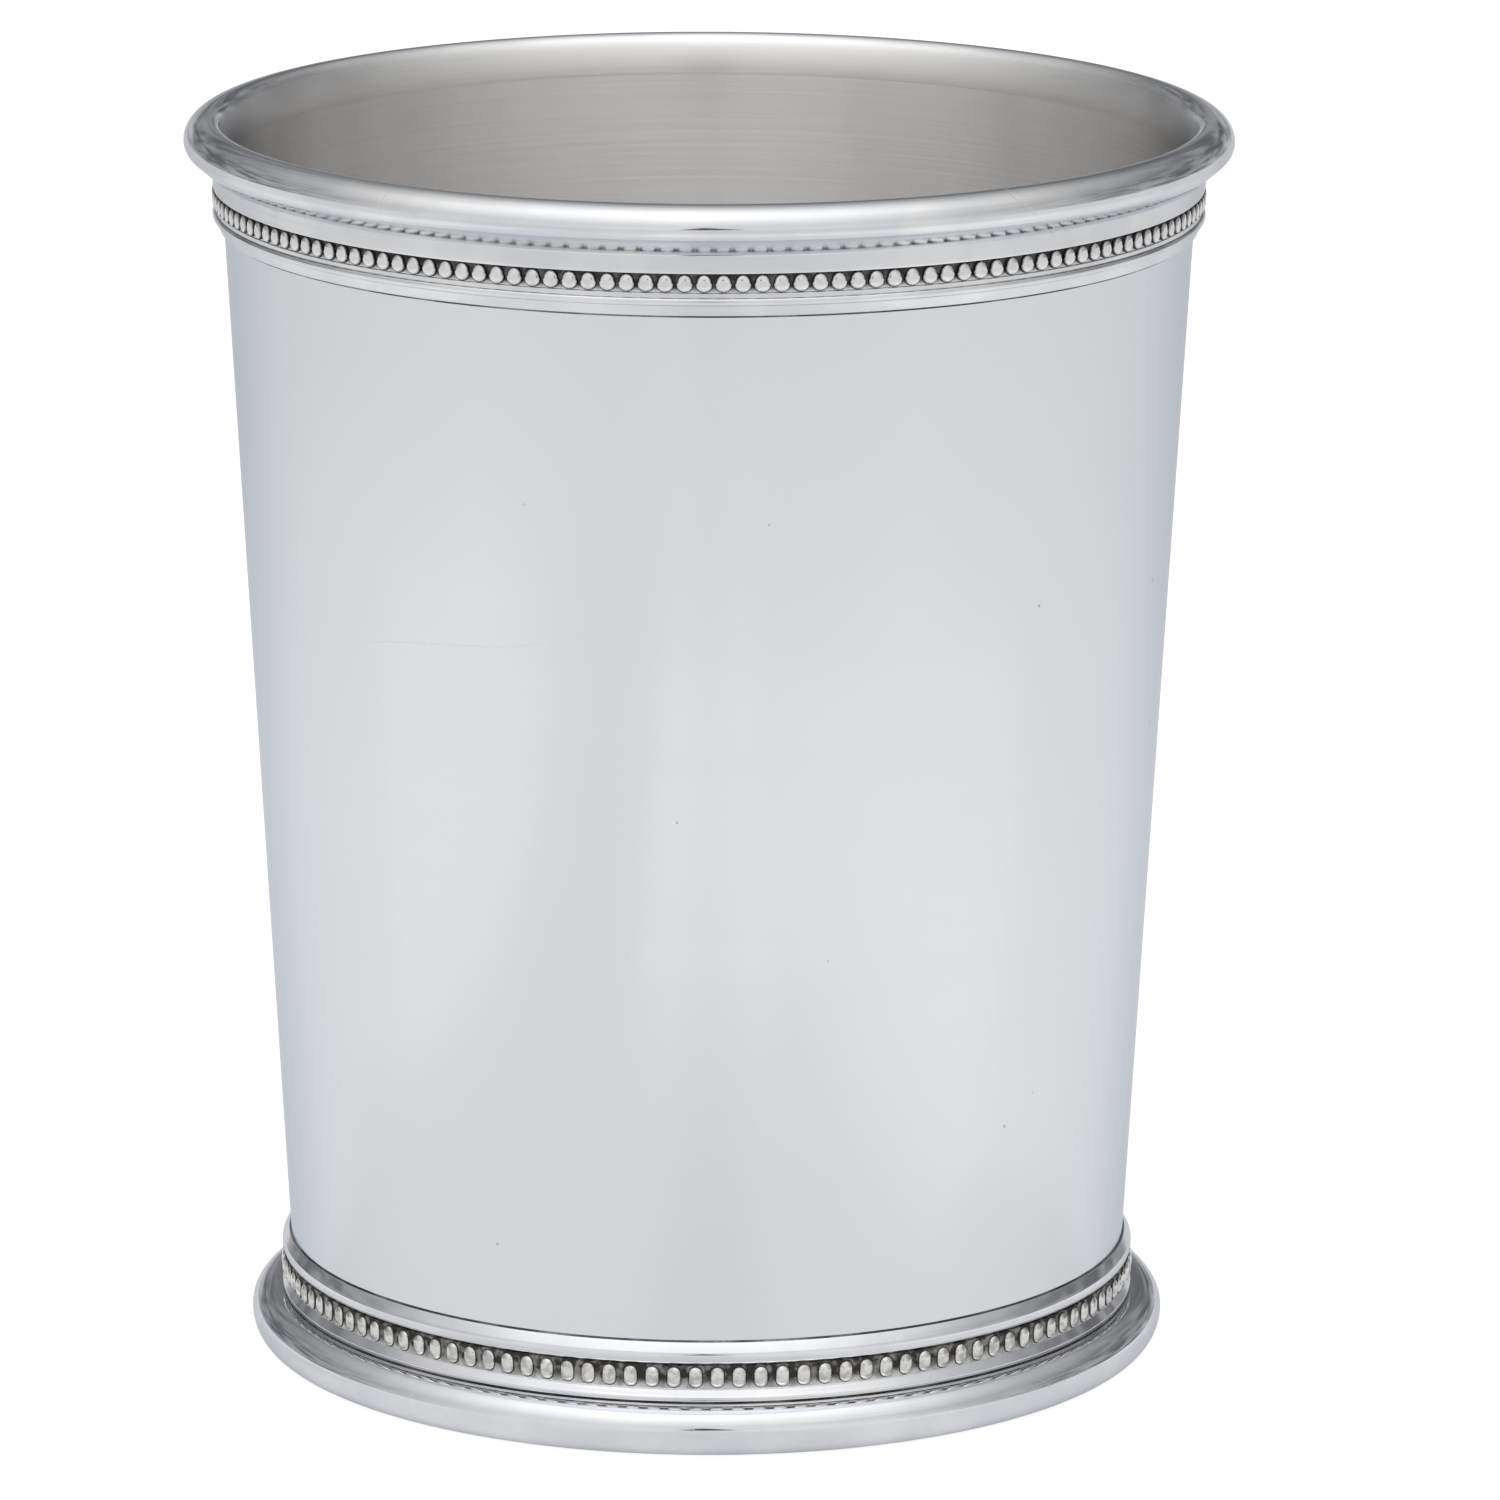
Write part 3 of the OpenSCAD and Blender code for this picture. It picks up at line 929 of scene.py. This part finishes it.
def make_wall(outside, inside):
    """The tapered wall: satin outside, brushed inside."""
    low_out, top_out = (wall_r(SEAT_Z), SEAT_Z), (wall_r(WALL_TOP_Z), WALL_TOP_Z)
    low_in, top_in = (wall_in(SEAT_Z), SEAT_Z), (wall_in(WALL_TOP_Z), WALL_TOP_Z)
    outline = levels(low_out, top_out, WALL_LEVELS) + levels(top_in, low_in, WALL_LEVELS)
    wall = turned("tapered_wall", outline)
    finish_piece(wall, "body_wall", "satin_silver", outside, inside)
    bpy.ops.object.mode_set(mode="EDIT")
    bpy.ops.mesh.select_mode(type="FACE")
    bpy.ops.mesh.select_all(action="DESELECT")
    bpy.ops.object.mode_set(mode="OBJECT")
    for face in wall.data.polygons:
        face.select = face.normal.x * face.center.x + face.normal.y * face.center.y < 0.0
    bpy.ops.object.mode_set(mode="EDIT")
    wall.active_material_index = 1
    bpy.ops.object.material_slot_assign()
    bpy.ops.mesh.select_mode(type="VERT")
    bpy.ops.object.mode_set(mode="OBJECT")


def make_floor(inside, solder):
    """The let-in floor and the solder round it."""
    low_r, top_r = wall_in(SEAT_Z) - FIT, wall_in(FLOOR_TOP_Z) - FIT
    outline = levels((0.0, SEAT_Z), (low_r, SEAT_Z), FLOOR_LEVELS)
    outline += levels((top_r, FLOOR_TOP_Z), (0.0, FLOOR_TOP_Z), FLOOR_LEVELS)
    finish_piece(turned("let_in_floor", outline), "floor_disc", "satin_silver", inside)
    corner = (wall_in(FLOOR_TOP_Z), FLOOR_TOP_Z)
    seam_top_z = FLOOR_TOP_Z + FLOOR_SEAM_W
    level_leg = (corner[0] - FLOOR_SEAM_W, FLOOR_TOP_Z)
    run = seam("floor_seam", corner, level_leg, (wall_in(seam_top_z), seam_top_z))
    finish_piece(run, "floor_solder", "seam_solder", solder)


def make_lip(polish):
    """The rolled lip, lapped over the top edge of the wall."""
    crest_r = LIP_R - LIP_CREST_W
    bore_r = sleeve_r(WALL_TOP_Z)
    inside_r = wall_in(WALL_TOP_Z)
    outline = [(bore_r, LIP_LOW_Z), (LIP_LOW_R, LIP_LOW_Z)]
    outline += oval((LIP_R - LIP_NOSE_W, LIP_WIDE_Z), (LIP_NOSE_W, LIP_NOSE_H), -LIP_TURN, 0.0)
    outline += oval((crest_r, LIP_WIDE_Z), (LIP_CREST_W, CUP_H - LIP_WIDE_Z), 0.0, 90.0)
    outline += oval((crest_r, WALL_TOP_Z), (crest_r - inside_r, CUP_H - WALL_TOP_Z), 90.0, 180.0)
    outline += [(bore_r, WALL_TOP_Z)]
    finish_piece(turned("rolled_lip", softened(outline, LIP_CUT)), "lip_ring", "polished_silver", polish)


def make_rim(polish, oxide, solder):
    """The rim moulding, its bead row and its seam on the wall."""
    outline = [(sleeve_r(RIM_LOW_Z), RIM_LOW_Z), (sleeve_r(RIM_LOW_Z) + RIM_EDGE_T, RIM_LOW_Z)]
    outline += half_round(RIM_R, RIM_REED_SWELL, RIM_REED_LOW_Z, RIM_REED_TOP_Z)
    outline += [(RIM_R - RIM_REED_SWELL, RIM_CHANNEL_LOW_Z)]
    outline += [(RIM_CHANNEL_R, RIM_CHANNEL_LOW_Z), (RIM_CHANNEL_R, RIM_CHANNEL_TOP_Z)]
    outline += half_round(RIM_R, RIM_FILLET_SWELL, RIM_CHANNEL_TOP_Z, LIP_LOW_Z)
    outline += [(sleeve_r(LIP_LOW_Z), LIP_LOW_Z)]
    finish_piece(turned("rim_moulding", softened(outline)), "rim_band", "polished_silver", polish)
    mid_z = (RIM_CHANNEL_LOW_Z + RIM_CHANNEL_TOP_Z) / 2
    row = bead_row(
        "rim_bead_row", RIM_BEADS, RIM_BEAD_W, RIM_BEAD_H, RIM_BEAD_CORNER, RIM_CHANNEL_R,
        RIM_R + RIM_BEAD_PROUD, mid_z, RIM_BEAD_RINGS, RIM_BEAD_TAPER)
    finish_piece(row, "rim_beads", "oxidised_beading", oxide)
    corner = (wall_r(RIM_LOW_Z), RIM_LOW_Z)
    low_z = RIM_LOW_Z - RIM_SEAM_RUN
    run = seam("rim_seam", corner, (corner[0] + SEAM_W, RIM_LOW_Z), (wall_r(low_z), low_z))
    finish_piece(run, "rim_solder", "seam_solder", solder)


def make_foot(polish, oxide, solder):
    """The foot moulding, its bead row and the seams above and below it."""
    fillet_r, fillet_low_z = FOOT_R + FOOT_FILLET_OUT, ROLL_TOP_Z + SEAM_W
    nose_mid = (FOOT_R - FOOT_NOSE_SWELL, FOOT_CHANNEL_TOP_Z + FOOT_NOSE_H / 2)
    outline = [(sleeve_r(ROLL_TOP_Z), ROLL_TOP_Z), (FOOT_NECK_R, ROLL_TOP_Z), (FOOT_NECK_R, fillet_low_z)]
    outline += [(fillet_r, fillet_low_z), (fillet_r, fillet_low_z + FOOT_FILLET_EDGE_H)]
    outline += [(FOOT_CHANNEL_R, FOOT_CHANNEL_LOW_Z), (FOOT_CHANNEL_R, FOOT_CHANNEL_TOP_Z)]
    outline += oval(nose_mid, (FOOT_NOSE_SWELL, FOOT_NOSE_H / 2), -90.0, FOOT_NOSE_TURN)
    outline += [(FOOT_R - FOOT_REED_SET, FOOT_TOP_Z), (sleeve_r(FOOT_TOP_Z), FOOT_TOP_Z)]
    finish_piece(turned("foot_moulding", softened(outline)), "foot_band", "polished_silver", polish)
    mid_z = (FOOT_CHANNEL_LOW_Z + FOOT_CHANNEL_TOP_Z) / 2
    row = bead_row(
        "foot_bead_row", FOOT_BEADS, FOOT_BEAD_W, FOOT_BEAD_H, FOOT_BEAD_CORNER, FOOT_CHANNEL_R,
        FOOT_R + FOOT_BEAD_PROUD, mid_z, FOOT_BEAD_RINGS, FOOT_BEAD_TAPER)
    finish_piece(row, "foot_beads", "oxidised_beading", oxide)
    corner = (wall_r(FOOT_TOP_Z), FOOT_TOP_Z)
    top_z = FOOT_TOP_Z + FOOT_SEAM_RUN
    run = seam("foot_seam", corner, (corner[0] + SEAM_W, FOOT_TOP_Z), (wall_r(top_z), top_z))
    finish_piece(run, "foot_solder", "seam_solder", solder)
    corner = (FOOT_NECK_R, ROLL_TOP_Z)
    run = seam("base_seam", corner, (FOOT_NECK_R + SEAM_W, ROLL_TOP_Z), (FOOT_NECK_R, fillet_low_z))
    finish_piece(run, "base_solder", "seam_solder", solder)


def make_roll(polish):
    """The heavy half-round foot roll, rebated for the wall and the floor."""
    rest_r, top_r = ROLL_R - ROLL_REST_W, ROLL_R - ROLL_TOP_W
    outline = [(LEDGE_R, 0.0)]
    outline += oval((rest_r, ROLL_WIDE_Z), (ROLL_REST_W, ROLL_WIDE_Z), -90.0, 0.0)
    outline += oval((top_r, ROLL_WIDE_Z), (ROLL_TOP_W, ROLL_TOP_Z - ROLL_WIDE_Z), 0.0, 90.0)
    outline += [(sleeve_r(ROLL_TOP_Z), ROLL_TOP_Z), (sleeve_r(SEAT_Z), SEAT_Z), (LEDGE_R, SEAT_Z)]
    finish_piece(turned("foot_roll", softened(outline)), "foot_ring", "polished_silver", polish)


bpy.context.scene.view_settings.view_transform = "Standard"
set_camera()
lay_floor()
stand_card()
light_studio()

satin = satin_outside()
brushed = brushed_inside()
lip_polish = polished_lip()
rim_polish = polished_metal("polished_rim", POLISH_COOL, POLISH_WARM)[0]
band_polish = polished_metal("polished_band", FOOT_COOL, FOOT_WARM)[0]
roll_polish = polished_foot()
# The mouldings' seams: dark solder joints, painted near-black as well to stand in for the shadow in the
# gap at each seam.
solder_with_painted_shade = dull_solder("solder_with_painted_shade", dark=(0.085, 0.08, 0.075), bright=(0.34, 0.335, 0.325))
floor_solder = dull_solder("floor_solder", dark=(0.42, 0.41, 0.395), bright=(0.60, 0.59, 0.575))
rim_oxide = oxidised_beads(
    "rim_oxide", RIM_CHANNEL_R + FIT + WIRE_T, RIM_CHANNEL_LOW_Z, RIM_LIT_Z,
    ground=(0.05, 0.049, 0.048), patchy=(0.14, 0.138, 0.136), root=(0.06, 0.059, 0.058),
    worn_from=0.27, dim=(0.86, 0.86, 0.865), bright=(0.93, 0.927, 0.92))
foot_oxide = oxidised_beads(
    "foot_oxide", FOOT_CHANNEL_R + FIT + WIRE_T, FOOT_CHANNEL_LOW_Z, FOOT_LIT_Z,
    ground=(0.055, 0.052, 0.048), patchy=(0.32, 0.312, 0.30), root=(0.05, 0.048, 0.045),
    worn_from=0.13, dim=(0.60, 0.595, 0.585), bright=(0.90, 0.885, 0.85))

make_wall(satin, brushed)
make_floor(brushed, floor_solder)
make_lip(lip_polish)
make_rim(rim_polish, rim_oxide, solder_with_painted_shade)
make_foot(band_polish, foot_oxide, solder_with_painted_shade)
make_roll(roll_polish)
